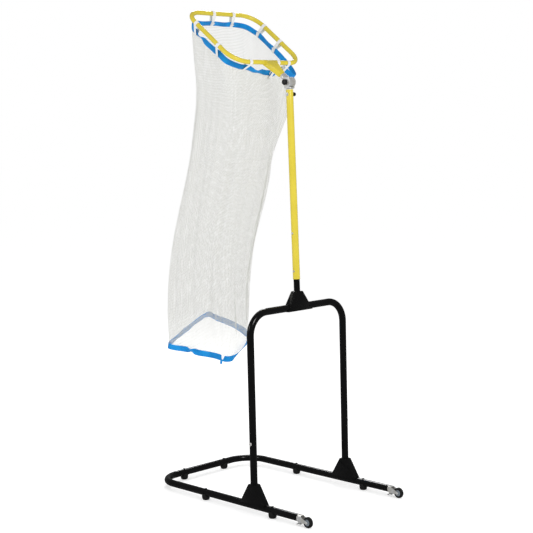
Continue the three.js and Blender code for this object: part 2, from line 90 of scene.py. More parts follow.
HOOP_HALF_X = 213
HOOP_HALF_Y = 228
HOOP_BEND = 92
HEM_IN = 20
HEM_TOP = -30
HEM_FOOT = -58
STRAP_WIDTH = 18
NET_HEM = 30
NET_SLOPE = 0.225
WHEEL_R = 25
WHEEL_X = 347
PEDAL_X = BASE_OPEN + 22
PEDAL_Z = 17
GUSSET_SHEET = 2
KNUCKLE_R = 24
TAPE_THICK = 1.3
SIDES = (("near", -1), ("far", 1))

# ---- frames: each turns its own millimetres into the stand's ----
low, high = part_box("upright_frame")
STAND = Matrix.Translation(((low.x + high.x) / 2 / MM, 0, 0))
MAST = STAND @ Matrix.Translation((0, 0, BAR_Z)) @ Matrix.Rotation(-LEAN, 4, "Y")
PIVOT = Vector((-TILT_AT * math.sin(LEAN), 0, BAR_Z + TILT_AT * math.cos(LEAN)))
HEAD = STAND @ Matrix.Translation(PIVOT) @ Matrix.Rotation(TILT, 4, "Y")
HOOP = HEAD @ Matrix.Translation((-HOOP_REACH, 0, 0))


def place(x, y, z):
    return Matrix.Translation((x, y, z))


def facing(direction, x=0, y=0, z=0):
    """A frame at a place, with its Z in a direction."""
    turn = Vector(direction).to_track_quat("Z", "Y").to_matrix().to_4x4()
    return Matrix.Translation((x, y, z)) @ turn


# ---- shapes ----
class Shape:
    """Closed shells: points in millimetres and the faces between them."""

    def __init__(self, points, faces):
        self.points = [Vector(p) for p in points]
        self.faces = [list(f) for f in faces]

    def at(self, matrix):
        return Shape([matrix @ p for p in self.points], self.faces)

    def __add__(self, other):
        """Both shapes, side by side."""
        start = len(self.points)
        return Shape(self.points + other.points, self.faces + [[i + start for i in f] for f in other.faces])

    def __or__(self, other):
        return joined(self, other, "UNION")

    def __sub__(self, other):
        return joined(self, other, "DIFFERENCE")


def mesh_of(name, shape, scale=1.0):
    mesh = bpy.data.meshes.new(name)
    mesh.from_pydata([p * scale for p in shape.points], [], shape.faces)
    mesh.validate()
    mesh.update()
    return mesh


def after(mesh, kind, **settings):
    """The mesh after one modifier."""
    holder = bpy.data.objects.new("workpiece", mesh)
    bpy.context.collection.objects.link(holder)
    modifier = holder.modifiers.new("step", kind)
    for key, value in settings.items():
        setattr(modifier, key, value)
    found = bpy.data.meshes.new_from_object(holder.evaluated_get(bpy.context.evaluated_depsgraph_get()))
    bpy.data.objects.remove(holder)
    bpy.data.meshes.remove(mesh)
    return found


def joined(first, second, operation):
    tool = bpy.data.objects.new("tool", mesh_of("tool", second))
    bpy.context.collection.objects.link(tool)
    mesh = after(mesh_of("blank", first), "BOOLEAN", object=tool, operation=operation, solver="EXACT")
    bpy.data.objects.remove(tool)
    result = Shape([v.co for v in mesh.vertices], [p.vertices for p in mesh.polygons])
    bpy.data.meshes.remove(mesh)
    return result


def softened(outline, radius, closed=False, steps=3):
    """An outline of 2-D points with its corners rounded."""
    count = len(outline)
    found = []
    for i, (x, y) in enumerate(outline):
        if not closed and i in (0, count - 1):
            found.append((x, y))
            continue
        here = Vector((x, y))
        ways = [Vector(outline[i - 1]) - here, Vector(outline[(i + 1) % count]) - here]
        reach = min(radius, *(0.45 * way.length for way in ways))
        start, end = (here + way.normalized() * reach for way in ways)
        for step in range(steps + 1):
            t = step / steps
            point = start * (1 - t) ** 2 + here * 2 * t * (1 - t) + end * t * t
            found.append((point.x, point.y))
    return found


def turned(profile, sides=40):
    """A turned piece about Z. Its [radius, height] profile starts and ends on the axis, or forms a ring."""
    ring = profile[0][0] > 0
    rows, points, faces = [], [], []
    for radius, height in profile:
        if radius == 0:
            rows.append([len(points)] * sides)
            points.append((0, 0, height))
            continue
        rows.append(range(len(points), len(points) + sides))
        for i in range(sides):
            angle = 2 * math.pi * i / sides
            points.append((radius * math.cos(angle), radius * math.sin(angle), height))
    pairs = list(zip(rows, rows[1:] + rows[:1] if ring else rows[1:]))
    for a, b in pairs:
        for i in range(sides):
            j = (i + 1) % sides
            face = [a[i], a[j], b[j], b[i]]
            faces.append([v for n, v in enumerate(face) if v not in face[:n]])
    return Shape(points, faces)


def soft_turned(profile, radius=0.6, sides=40):
    return turned(softened(profile, radius, closed=profile[0][0] > 0), sides)


def rod(radius, start, end, edge=0.0, sides=40):
    """A plain cylinder about Z."""
    return soft_turned([(0, start), (radius, start), (radius, end), (0, end)], edge or 0.01, sides)


def sleeve(inner, outer, start, end, edge=0.4, sides=48):
    return soft_turned([(inner, start), (outer, start), (outer, end), (inner, end)], edge, sides)


def slab(outline, start, end):
    """A flat outline of [x, z] points, from one Y to another."""
    count = len(outline)
    points = [(x, y, z) for y in (start, end) for x, z in outline]
    sides = [[i, (i + 1) % count, (i + 1) % count + count, i + count] for i in range(count)]
    return Shape(points, [list(range(count))[::-1], list(range(count, 2 * count)), *sides])


def block(x, y, z):
    return slab([(x[0], z[0]), (x[1], z[0]), (x[1], z[1]), (x[0], z[1])], *y)


def pipe(stations, outer, sides=40, inner=None, closed=False):
    """A round tube along [point, tangent, up] stations; without an inner radius its ends are flat."""
    radii = [outer] if inner is None else [outer, inner]
    points, faces, count = [], [], len(stations)
    for radius in radii:
        for point, tangent, up in stations:
            side = tangent.cross(up)
            for i in range(sides):
                angle = 2 * math.pi * i / sides
                points.append(point + (side * math.cos(angle) + up * math.sin(angle)) * radius)
    for layer in range(len(radii)):
        first = layer * count * sides
        for k in range(count if closed else count - 1):
            a, b = first + k * sides, first + ((k + 1) % count) * sides
            for i in range(sides):
                j = (i + 1) % sides
                face = [a + i, b + i, b + j, a + j]
                faces.append(face[::-1] if layer else face)
    if not closed:
        for k, flip in ((0, False), (count - 1, True)):
            a, b = k * sides, (count + k) * sides
            if inner is None:
                end = [[a + i for i in range(sides)]]
            else:
                end = [[a + i, a + (i + 1) % sides, b + (i + 1) % sides, b + i] for i in range(sides)]
            faces += [f[::-1] for f in end] if flip else end
    return Shape(points, faces)


def bent_u(half, open_end, closed_end, bend, along, across, offset, steps=20):
    """Stations of a U of tube: a leg, a bend, the crosspiece, a bend and the other leg."""
    along, across, offset = Vector(along), Vector(across), Vector(offset)
    up = along.cross(across)
    spots = [(open_end, -half, 1, 0)]
    for side in (-1, 1):
        for i in range(steps + 1):
            angle = (i if side < 0 else steps - i) / steps * math.pi / 2
            a = closed_end - bend + bend * math.sin(angle)
            c = side * (half - bend + bend * math.cos(angle))
            spots.append((a, c, -side * math.cos(angle), math.sin(angle)))
    spots.append((open_end, half, -1, 0))
    return [(along * a + across * c + offset, along * ta + across * tc, up) for a, c, ta, tc in spots]


def rounded_ring(half_x, half_y, bend, share):
    """Point and outward direction at a share of the way round a rounded rectangle, from its +X middle."""
    straight_x, straight_y, arc = half_x - bend, half_y - bend, bend * math.pi / 2
    runs = [straight_y, arc, 2 * straight_x, arc, 2 * straight_y, arc, 2 * straight_x, arc, straight_y]
    left = share % 1.0 * sum(runs)
    run = 0
    while run < 8 and left > runs[run]:
        left -= runs[run]
        run += 1
    quarter = run // 2
    turn = quarter * math.pi / 2
    if run % 2:
        turn += left / bend
        corner_x = straight_x if quarter in (0, 3) else -straight_x
        corner_y = straight_y if quarter < 2 else -straight_y
        out = (math.cos(turn), math.sin(turn))
        return (corner_x + bend * out[0], corner_y + bend * out[1]), out
    out = (math.cos(turn), math.sin(turn))
    if run in (0, 4, 8):
        y = {0: left, 4: straight_y - left, 8: -straight_y + left}[run]
        return (half_x * out[0], y), out
    return ((straight_x - left if run == 2 else -straight_x + left), half_y * out[1]), out


# ---- materials ----
class Wire:
    """A value inside a node tree. Arithmetic on it adds Math nodes."""

    def __init__(self, nodes, socket):
        self.nodes = nodes
        self.socket = socket

    def math(self, operation, first, second):
        return self.nodes.node("Math", {"operation": operation}, {0: first, 1: second})

    def __add__(self, other):
        return self.math("ADD", self, other)

    def __radd__(self, other):
        return self.math("ADD", other, self)

    def __sub__(self, other):
        return self.math("SUBTRACT", self, other)

    def __rsub__(self, other):
        return self.math("SUBTRACT", other, self)

    def __mul__(self, other):
        return self.math("MULTIPLY", self, other)

    def __rmul__(self, other):
        return self.math("MULTIPLY", other, self)


class Nodes:
    """The node tree of a material or of the room, with one method that makes every node."""

    def __init__(self, tree):
        self.tree = tree

    def feed(self, socket, value):
        if isinstance(value, Wire):
            self.tree.links.new(value.socket, socket)
        else:
            socket.default_value = value

    def node(self, kind, settings=None, values=None, output=0):
        node = self.tree.nodes.new("ShaderNode" + kind)
        for key, value in (settings or {}).items():
            if key == "stops":
                ramp = node.color_ramp
                while len(ramp.elements) < len(value):
                    ramp.elements.new(0.5)
                for element, (position, grey) in zip(ramp.elements, value):
                    element.position = position
                    element.color = (grey, grey, grey, 1)
            else:
                setattr(node, key, value)
        for key, value in (values or {}).items():
            self.feed(node.inputs[key], value)
        return Wire(self, node.outputs[output])


class Finish(Nodes):
    """A material for one of the stand's finishes, with a Principled shader."""

    def __init__(self, name, **sockets):
        self.material = bpy.data.materials.new(name)
        self.material.use_nodes = True
        super().__init__(self.material.node_tree)
        self.shader = next(n for n in self.tree.nodes if n.type == "BSDF_PRINCIPLED")
        self.set(**sockets)

    def set(self, **sockets):
        """Sets shader sockets; base_color stands for Base Color."""
        for key, value in sockets.items():
            socket = self.shader.inputs[key.replace("_", " ").title().replace("Ior", "IOR")]
            self.feed(socket, value)

    def places(self, stretch=(1, 1, 1)):
        """The piece's own coordinates, in metres, stretched."""
        own = self.node("TexCoord", output="Object")
        return self.node("VectorMath", {"operation": "MULTIPLY"}, {0: own, 1: stretch})

    def along(self):
        """Millimetres along a strip, and across it."""
        strip = self.node("UVMap", {"uv_map": "strip"})
        return [self.node("SeparateXYZ", values={0: strip}, output=axis) for axis in "XY"]

    def noise(self, scale, detail, stretch=(1, 1, 1)):
        values = {"Vector": self.places(stretch), "Scale": scale, "Detail": detail}
        return self.node("TexNoise", values=values)

    def ramp(self, value, *stops):
        return self.node("ValToRGB", {"stops": stops}, {0: value})

    def mix(self, share, first, second):
        values = {0: share, 6: (*first, 1) if isinstance(first, tuple) else first}
        values[7] = (*second, 1) if isinstance(second, tuple) else second
        return self.node("Mix", {"data_type": "RGBA"}, values, output=2)

    def bump(self, height, distance):
        """Raises the surface by up to a distance in metres."""
        self.set(normal=self.node("Bump", values={"Height": height, "Distance": distance}))


def enamel(name, colour, shade, roughness, coat):
    """Powder paint: slight orange peel, a little uneven gloss, dulled where it is handled."""
    finish = Finish(name, specular_ior_level=0.25, coat_weight=coat, coat_roughness=0.1)
    patches = finish.noise(9, 3)
    finish.set(base_color=finish.mix(finish.ramp(patches, (0.35, 0), (0.7, 1)), colour, shade))
    rubbed = finish.noise(55, 4, stretch=(1, 1, 0.25))
    finish.set(roughness=roughness + 0.12 * finish.ramp(rubbed, (0.45, 0), (0.7, 1)) + 0.05 * patches)
    peel = finish.noise(620, 2)
    finish.bump(peel, 0.00006)
    return finish.material


def zinc_plate():
    """Bright zinc plating, faintly blue and yellow in patches, with fine draw marks."""
    finish = Finish("zinc_plating", metallic=0.62, specular_ior_level=0.6)
    patches = finish.noise(38, 4)
    tint = finish.mix(finish.ramp(patches, (0.35, 0), (0.65, 1)), (0.80, 0.81, 0.82), (0.72, 0.70, 0.64))
    finish.set(base_color=tint)
    marks = finish.noise(260, 3, stretch=(1, 1, 0.08))
    finish.set(roughness=0.24 + 0.16 * marks + 0.08 * patches)
    finish.bump(marks, 0.00004)
    return finish.material


def moulded(name, colour, shade, roughness):
    """Moulded rubber or plastic with a fine spark-eroded grain."""
    finish = Finish(name, specular_ior_level=0.45)
    patches = finish.noise(45, 3)
    finish.set(base_color=finish.mix(patches, colour, shade))
    finish.set(roughness=roughness + 0.14 * patches)
    finish.bump(finish.noise(900, 2), 0.00005)
    return finish.material


def woven(name, colour, shade, pick, end, depth, sheen, roughness=0.62, edge_rows=()):
    """Woven tape: picks across it and ends along it, with rows of stitching dents, and broad patches between
    its two colours painted in as sheen.
    """
    finish = Finish(name, specular_ior_level=0.2, sheen_weight=sheen, sheen_roughness=0.4)
    along, across = finish.along()
    turn = 2 * math.pi
    picks = finish.node("Math", {"operation": "SINE"}, {0: along * (turn / pick)})
    ends = finish.node("Math", {"operation": "SINE"}, {0: across * (turn / end)})
    weave = picks * ends
    patches = finish.noise(24, 4)
    # Broad noise patches between the two colours are painted sheen and painted shade, standing in for folds
    # that catch the light; the weave term is the tape's own pattern.
    weave_and_painted_sheen = 0.72 * patches + 0.28 * (0.5 + 0.5 * weave)
    finish.set(base_color=finish.mix(finish.ramp(weave_and_painted_sheen, (0.25, 0), (0.75, 1)), colour, shade))
    finish.set(roughness=roughness + 0.12 * patches)
    height = weave
    for row in edge_rows:
        near = finish.node("Math", {"operation": "COMPARE"}, {0: across, 1: row, 2: 0.7})
        height = height - 1.5 * near
    finish.bump(height, depth)
    return finish.material


def net_cord():
    """Twisted polyester twine, off-white."""
    finish = Finish("net_twine", specular_ior_level=0.25, roughness=0.85)
    patches = finish.noise(6, 4, stretch=(1, 1, 0.35))
    finish.set(base_color=finish.mix(patches, (0.66, 0.66, 0.625), (0.57, 0.575, 0.54)))
    finish.set(roughness=0.78 + 0.12 * patches)
    return finish.material


BLACK = enamel("black_enamel", (0.0018, 0.0018, 0.0019), (0.003, 0.003, 0.0033), 0.14, 0.3)
YELLOW = enamel("yellow_enamel", (0.72, 0.585, 0.058), (0.67, 0.54, 0.045), 0.24, 0.5)
ZINC = zinc_plate()
RUBBER = moulded("foot_rubber", (0.005, 0.005, 0.005), (0.010, 0.010, 0.010), 0.55)
TYRE = moulded("tyre_rubber", (0.006, 0.006, 0.006), (0.012, 0.012, 0.012), 0.6)
KNOB = moulded("black_plastic", (0.006, 0.006, 0.0065), (0.010, 0.010, 0.011), 0.36)
HUB = moulded("grey_plastic", (0.17, 0.20, 0.23), (0.22, 0.25, 0.28), 0.38)
BUSH = moulded("white_plastic", (0.80, 0.79, 0.75), (0.74, 0.73, 0.68), 0.4)
TWINE = net_cord()
# The blue tape's two colours are a shaded blue and a lit blue, so their patches are painted sheen.
BLUE = woven("blue_tape", (0.0, 0.145, 0.46), (0.010, 0.345, 0.84), 1.7, 1.3, 0.00016, 0.06,
             edge_rows=(-10, 10))
WHITE = woven("white_strap", (0.86, 0.86, 0.85), (0.78, 0.78, 0.77), 1.1, 1.4, 0.00014, 0.3, roughness=0.7)


# ---- pieces ----
def finished(name, mesh, body, slot, material, *stands_for, sharp=35):
    """A mesh in metres becomes a piece that rides on a body."""
    for polygon in mesh.polygons:
        polygon.use_smooth = True
    mesh.set_sharp_from_angle(angle=math.radians(sharp))
    mesh.materials.clear()
    mesh.materials.append(material)
    piece = bpy.data.objects.new(name, mesh)
    bpy.context.collection.objects.link(piece)
    if body:
        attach(piece, body)
    if stands_for:
        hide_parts(*stands_for)
    return piece


def piece(name, shape, frame_of, body, slot, material, *stands_for, edge=0.0):
    """A shape becomes a piece; edge rounds its sharp edges, in millimetres."""
    mesh = mesh_of(name, shape.at(frame_of), MM)
    if edge:
        mesh = after(mesh, "BEVEL", width=edge * MM, segments=2, limit_method="ANGLE",
                     angle_limit=math.radians(32), use_clamp_overlap=True)
    return finished(name, mesh, body, slot, material, *stands_for)


def folded_gusset(foot, top, start, end, inside, sheet):
    """Two cheeks joined by two sloping flanges, open at the top and at the foot."""
    slope = (foot - top) / (end - start)
    flange = sheet * math.hypot(1, slope)

    def outline(extra, inset):
        return [
            (-foot - slope * extra + inset, start - extra),
            (foot + slope * extra - inset, start - extra),
            (top - slope * extra - inset, end + extra),
            (-top + slope * extra + inset, end + extra),
        ]

    outer = slab(softened(outline(0, 0), 3, closed=True), -inside / 2 - sheet, inside / 2 + sheet)
    return outer - slab(outline(8, flange), -inside / 2, inside / 2)


def dome_bolt(head_r, head_h, shank_r, length):
    return soft_turned([
        (0, -length), (shank_r, -length), (shank_r, 0), (head_r, 0), (head_r, head_h * 0.3),
        (head_r * 0.86, head_h * 0.68), (head_r * 0.5, head_h * 0.94), (0, head_h),
    ], 0.8, 32)


def hexagon(radius, start, end):
    """A hexagonal prism about Z."""
    return turned([(0, start), (radius, start), (radius, end), (0, end)], 6)


def base_frame():
    path = bent_u(BASE_HALF, -BASE_OPEN, BASE_CLOSED, BASE_BEND, (-1, 0, 0), (0, 1, 0), (0, 0, BASE_Z))
    tube = pipe(path, TUBE_R, 48, TUBE_R - WALL)
    piece("base_pipe", tube, STAND, "stand", "black_paint", BLACK, "base_tube")
    cheek = TUBE_R + GAP + GUSSET_SHEET
    for side, sign in SIDES:
        y = sign * BASE_HALF
        saddle = rod(TUBE_R + GAP, -200, 200, sides=64).at(facing((1, 0, 0), 0, 0, BASE_Z))
        gusset = folded_gusset(80, 20, BASE_Z + 9, 140, 2 * (TUBE_R + GAP), GUSSET_SHEET) - saddle
        for x, z in ((-66, BASE_Z + 23), (66, BASE_Z + 23), (0, BASE_Z + 60)):
            for out in (-1, 1):
                spot = soft_turned([(0, -1), (4.6, -1), (4.6, 0.9), (3.2, 1.9), (0, 2.1)], 0.7, 24)
                gusset = gusset + spot.at(facing((0, out, 0), x, out * cheek, z))
        piece(f"foot_gusset_{side}_folded", gusset, STAND @ place(0, y, 0), "stand", "black_paint", BLACK,
              f"foot_gusset_{side}", edge=0.5)
        bolt = dome_bolt(7, 4.5, 3.1, 30).at(place(0, 0, 1.3 - GAP)) + sleeve(3.4, 8.4, 0, 1.3)
        out = facing((0, sign, 0), 0, y + sign * TUBE_R, UPRIGHT_BOLT_Z)
        piece(f"upright_bolt_{side}_domed", bolt, STAND @ out, "stand", "zinc", ZINC, f"upright_bolt_{side}")


def upright_frame():
    foot = BASE_Z + 18.5
    path = bent_u(BASE_HALF, foot, BAR_Z, BAR_BEND, (0, 0, 1), (0, 1, 0), (0, 0, 0))
    piece("upright_pipe", pipe(path, TUBE_R, 48, TUBE_R - WALL), STAND, "stand", "black_paint", BLACK,
          "upright_frame")


def feet():
    spots = (
        ("rear_near", FOOT_REAR, -BASE_HALF), ("rear_far", FOOT_REAR, BASE_HALF),
        ("front_near", -FOOT_FRONT, -BASE_HALF), ("front_far", -FOOT_FRONT, BASE_HALF),
        ("cross_near", -BASE_CLOSED, -FOOT_CROSS), ("cross_far", -BASE_CLOSED, FOOT_CROSS),
    )
    pad = soft_turned([
        (0, 0.4), (9, 0.4), (9.6, 0), (13, 0), (16.5, 2.5), (17.6, 6), (18.4, 6.6), (19.6, 14),
        (20, BASE_Z - 4), (0, BASE_Z - 4),
    ], 0.8, 48)
    nut = hexagon(7.2, 0, 1.9) + soft_turned([
        (0, 1), (5.8, 1), (5.7, 2.4), (4.8, 3.7), (2.9, 4.5), (0, 4.7)], 0.7, 32)
    for spot, x, y in spots:
        across = (0, 1, 0) if x == -BASE_CLOSED else (1, 0, 0)
        saddle = rod(TUBE_R + GAP, -60, 60, sides=64).at(facing(across, 0, 0, BASE_Z))
        piece(f"foot_{spot}_pad", pad - saddle, STAND @ place(x, y, 0), "stand", "rubber", RUBBER,
              f"foot_{spot}", edge=0.5)
        top = place(x, y, BASE_Z + TUBE_R - 0.4)
        piece(f"foot_nut_{spot}", nut, STAND @ top, "stand", "black_paint", BLACK,
              f"foot_bolt_{spot}", edge=0.3)


def wheel_plate():
    """The outline of one cheek of a wheel bracket: an arm to the axle and a lug for the brake's pin."""
    eye_r, steps = 6.8, 12
    upper = [(1, 13), (18, 12), (34, 4)]
    lower = [(30, -16), (27, -25), (17, -25), (1, -11)]
    eye = []
    for step in range(steps + 1):
        angle = math.pi / 4 - step / steps * math.pi
        eye.append((WHEEL_X + eye_r * math.cos(angle), WHEEL_R + eye_r * math.sin(angle)))
    upper, lower = ([(BASE_OPEN + x, BASE_Z + z) for x, z in points] for points in (upper, lower))
    return [*upper, *eye, *lower]


def wheels():
    tread = [(15.3, -9), (21.5, -9), (24.2, -7.4), (WHEEL_R, -5)]
    for groove in (-2.6, 2.6):
        tread += [(WHEEL_R, groove - 0.9), (WHEEL_R - 1.1, groove - 0.5), (WHEEL_R - 1.1, groove + 0.5),
                  (WHEEL_R, groove + 0.9)]
    tread += [(WHEEL_R, 5), (24.2, 7.4), (21.5, 9), (15.3, 9)]
    tyre = soft_turned(tread, 0.5, 64)
    hub = soft_turned([
        (3.5, -10.8), (8, -10.8), (8.6, -8), (13.4, -7.4), (13.9, -8.6), (15, -8.6),
        (15, 8.6), (13.9, 8.6), (13.4, 7.4), (8.6, 8), (8, 10.8), (3.5, 10.8)], 0.5, 48)
    axle = soft_turned([(0, -17), (3.1, -17), (3.1, 14.3), (6, 14.3), (6, 17), (0, 19)], 0.7, 32)
    axle = axle + sleeve(3.3, 6.4, -15.3, -14.3, 0.3) + sleeve(3.3, 6.6, 14.2, 15, 0.3)
    for side, sign in SIDES:
        y = sign * BASE_HALF
        plug = rod(TUBE_R - WALL - GAP, BASE_OPEN - 38, BASE_OPEN + 2).at(facing((1, 0, 0), 0, 0, BASE_Z))
        flange = rod(TUBE_R, BASE_OPEN + GAP, BASE_OPEN + 4.3, 0.5).at(facing((1, 0, 0), 0, 0, BASE_Z))
        back = block((BASE_OPEN + 2, BASE_OPEN + 10), (-14, 14), (BASE_Z - 11, BASE_Z + 12))
        hood = block((BASE_OPEN + 2, BASE_OPEN + 19), (-14, 14), (BASE_Z + 10.4, BASE_Z + 13.2))
        shell = plug | flange | back | hood
        for span in ((-14, -11.5), (11.5, 14)):
            shell = shell | slab(wheel_plate(), *span)
        shell = shell - rod(3.5, -30, 30).at(facing((0, 1, 0), WHEEL_X, 0, WHEEL_R))
        shell = shell - rod(2.3, -30, 30).at(facing((0, 1, 0), PEDAL_X, 0, PEDAL_Z))
        piece(f"wheel_fork_{side}", shell, STAND @ place(0, y, 0), "stand", "zinc", ZINC,
              f"wheel_bracket_{side}", edge=0.4)
        spin = STAND @ facing((0, -1, 0), WHEEL_X, y, WHEEL_R)
        piece(f"tyre_{side}_tread", tyre, spin, f"wheel_{side}", "tyre_rubber", TYRE, f"tyre_{side}")
        piece(f"hub_{side}_disc", hub, spin, f"wheel_{side}", "grey_plastic", HUB, f"hub_{side}")
        piece(f"axle_{side}_pin", axle, spin, "stand", "zinc", ZINC, f"axle_{side}")
        blade = [
            (-4, -3.4), (-26, -11.5), (-30, -11.4), (-30.6, -9), (-27, -8.4), (-5, 0.6), (4, 4.6),
            (10.6, 4.5), (9, -1)]
        pedal = slab(softened(blade, 1, closed=True), -8, 8)
        pedal = pedal | rod(3.4, -11, 11, 0.3).at(facing((0, 1, 0)))
        pedal = pedal | rod(2, -16.5, 16.5, 0.3, 24).at(facing((0, 1, 0)))
        piece(f"brake_pedal_{side}", pedal, STAND @ place(PEDAL_X, y, PEDAL_Z), f"brake_{side}",
              "black_paint", BLACK, f"brake_lever_{side}", edge=0.3)


def mast_pieces():
    crossbar = rod(TUBE_R + GAP, -250, 250, sides=64).at(facing((0, 1, 0)))
    gusset = folded_gusset(84, 20, -TUBE_R, 76, 2 * (TUBE_R + GAP), GUSSET_SHEET)
    gusset = gusset.at(Matrix.Rotation(math.pi / 2, 4, "Z")) - crossbar
    cheek = TUBE_R + GAP + GUSSET_SHEET
    for y in (-68, 68):
        for out in (-1, 1):
            spot = soft_turned([(0, -1), (4.2, -1), (4.2, 0.8), (3, 1.7), (0, 1.9)], 0.7, 24)
            gusset = gusset + spot.at(facing((out, 0, 0), out * cheek, y, 0))
    piece("top_gusset_folded", gusset, MAST, "stand", "black_paint", BLACK, "top_gusset", edge=0.5)
    stub = sleeve(STUB_R - WALL, STUB_R, TUBE_R + 1, STUB_TO)
    piece("post_stub_pipe", stub, MAST, "stand", "black_paint", BLACK, "post_stub")
    rim = sleeve(STUB_R + GAP, TUBE_R + 0.5, POST_FROM, POST_FROM + 3.2, 0.6, 64)
    post = sleeve(STUB_R + GAP, TUBE_R, POST_FROM + 1, POST_TO, 0.5, 64)
    hole = rod(4.4, -40, 40).at(facing((0, 1, 0), 0, 0, SCREW_AT))
    piece("post_pipe", (post - hole) + rim, MAST, "stand", "yellow_paint", YELLOW, "post_tube")
    for name, at in POST_BOLTS:
        screw = dome_bolt(5.5, 3.2, 3.1, 3) - block((-4, 4), (-0.6, 0.6), (2.2, 6))
        piece(f"post_screw_{name}", screw, MAST @ facing((0, -1, 0), 0, -TUBE_R, at), "stand", "zinc", ZINC,
              f"post_bolt_{name}", edge=0.15)
    bush = soft_turned([
        (POLE_R + GAP, POST_TO - 44), (STUB_R, POST_TO - 44), (STUB_R, POST_TO + GAP),
        (TUBE_R, POST_TO + GAP), (TUBE_R - 0.6, POST_TO + 3), (POLE_R + GAP, POST_TO + 3)], 0.5, 64)
    piece("post_bush_collar", bush - hole, MAST, "stand", "white_plastic", BUSH, "post_bush")
    guide = soft_turned([(0, -4), (4, -4), (4, 0), (8.5, 0), (8.5, 1.6), (0, 1.6)], 0.4, 40)
    guide = guide + hexagon(6.2, 1.5, 4.6) + rod(4.9, 4.5, 5.4, 0.5)
    piece("guide_bolt_washer", guide, MAST @ facing((0, -1, 0), 0, -TUBE_R - GAP, SCREW_AT), "stand", "zinc",
          ZINC, "guide_bolt", edge=0.3)
    screw = soft_turned([(0, -4.2), (4, -4.2), (4, 2), (7, 2), (7.6, 4.5), (0, 4.5)], 0.5, 32)
    grip = fluted_grip(9.5, 4, 17.5, 10, 0.6)
    piece("height_knob_grip", screw + grip, MAST @ facing((0, 1, 0), 0, TUBE_R + GAP, SCREW_AT),
          "height_screw", "black_plastic", KNOB, "height_knob")
    piece("inner_pole_pipe", sleeve(POLE_R - WALL, POLE_R, POLE_FROM, TILT_AT - 31, 0.4, 64), MAST, "pole",
          "zinc", ZINC, "inner_pole")


def fluted_grip(radius, start, end, flutes, depth):
    """A round knob with flutes for the fingers and a slightly domed face."""
    profile = softened([
        (0, start), (radius * 0.86, start), (radius, start + 2), (radius, end - 3),
        (radius * 0.84, end - 0.4), (radius * 0.3, end), (0, end)], 1.2)
    shape = turned(profile, flutes * 8)
    for point in shape.points:
        angle = math.atan2(point.y, point.x)
        share = min(1, max(0, math.hypot(point.x, point.y) / radius - 0.75) * 4)
        shrink = 1 - share * depth / radius * (0.5 + 0.5 * math.cos(flutes * angle)) ** 0.7
        point.x *= shrink
        point.y *= shrink
    return shape


def tilt_joint():
    bore = rod(5.3, -40, 40).at(facing((0, 1, 0)))

    def cheek(y):
        disc = rod(KNUCKLE_R, -4.8, 4.8, sides=72).at(facing((0, 1, 0), 0, y, 0))
        return disc | block((-14, 14), (y - 4.8, y + 4.8), (-30, -14))

    floor = rod(19.6, -30.5, -25.5, sides=64)
    fork = ((cheek(-14.8) | cheek(14.8)) | floor) - bore
    piece("tilt_fork_cast", fork, MAST @ place(0, 0, TILT_AT), "pole", "zinc", ZINC, "tilt_fork", edge=0.9)
    tongue = rod(KNUCKLE_R - 1.5, -9.6, 9.6, sides=72).at(facing((0, 1, 0)))
    tongue = tongue | block((-32, 0), (-9.6, 9.6), (-10, 10))
    tongue = tongue | rod(COLLAR_R, -53, -31, sides=64).at(facing((1, 0, 0)))
    socket = rod(HOOP_R + GAP, -60, -SOCKET_AT, sides=64).at(facing((1, 0, 0)))
    piece("tilt_tongue_cast", tongue - bore - socket, HEAD, "hoop", "zinc", ZINC, "tilt_tongue", edge=0.8)
    bolt = soft_turned([(0, -24.5), (5, -24.5), (5, 20), (11.5, 20), (11.5, 21.2), (0, 21.2)], 0.4, 40)
    bolt = bolt + hexagon(8.8, 21, 26) + soft_turned([(0, 25.8), (6.6, 25.8), (5.8, 27), (0, 27)], 0.4, 32)
    piece("tilt_bolt_nut", bolt, MAST @ facing((0, 1, 0), 0, 0, TILT_AT), "pole", "zinc", ZINC, "tilt_bolt",
          edge=0.3)
    collar = soft_turned([(5.4, 20.2), (14, 20.2), (14, 23), (5.4, 23)], 0.5, 48)
    grip = fluted_grip(14, 22.6, 39, 9, 1.1)
    piece("tilt_knob_grip", grip, MAST @ facing((0, -1, 0), 0, 0, TILT_AT), "tilt_screw", "black_plastic",
          KNOB, "tilt_knob")
    piece("tilt_knob_washer", collar, MAST @ facing((0, -1, 0), 0, 0, TILT_AT), "tilt_screw", "zinc", ZINC)


def hoop_stations(steps=24):
    """Stations round the hoop's centre line, with the run straight between the bends."""
    found = []
    for quarter in range(4):
        corner_x = (1 if quarter in (0, 3) else -1) * (HOOP_HALF_X - HOOP_BEND)
        corner_y = (1 if quarter < 2 else -1) * (HOOP_HALF_Y - HOOP_BEND)
        for i in range(steps + 1):
            angle = (quarter + i / steps) * math.pi / 2
            way = Vector((math.cos(angle), math.sin(angle), 0))
            point = Vector((corner_x, corner_y, 0)) + way * HOOP_BEND
            found.append((point, Vector((-way.y, way.x, 0)), Vector((0, 0, 1))))
    return found


def hoop_frame():
    piece("hoop_pipe", pipe(hoop_stations(), HOOP_R, 40, closed=True), HOOP, "hoop", "yellow_paint", YELLOW,
          "hoop_tube")
    side = HOOP_REACH - HOOP_HALF_X
    # An uneven rod, so that none of its edges lies along an edge of the bracket.
    saddle = rod(HOOP_R + GAP, -151, 149, sides=63).at(facing((0, 1, 0), -side, 0, 0))
    stem = sleeve(HOOP_R - WALL, HOOP_R, -side, -SOCKET_AT - GAP, 0.4, 48).at(facing((1, 0, 0)))
    piece("hoop_stem_pipe", stem - saddle, HEAD, "hoop", "yellow_paint", YELLOW, "hoop_stem")
    bracket = folded_gusset(38, 12.8, 0, side - 62, 2 * (HOOP_R + GAP), 1.6)
    stood = place(-side, 0, 0) @ Matrix.Rotation(math.pi / 2, 4, "Y") @ Matrix.Rotation(math.pi / 2, 4, "Z")
    piece("hoop_bracket_folded", bracket.at(stood) - saddle, HEAD, "hoop", "yellow_paint", YELLOW,
          "hoop_bracket", edge=0.5)


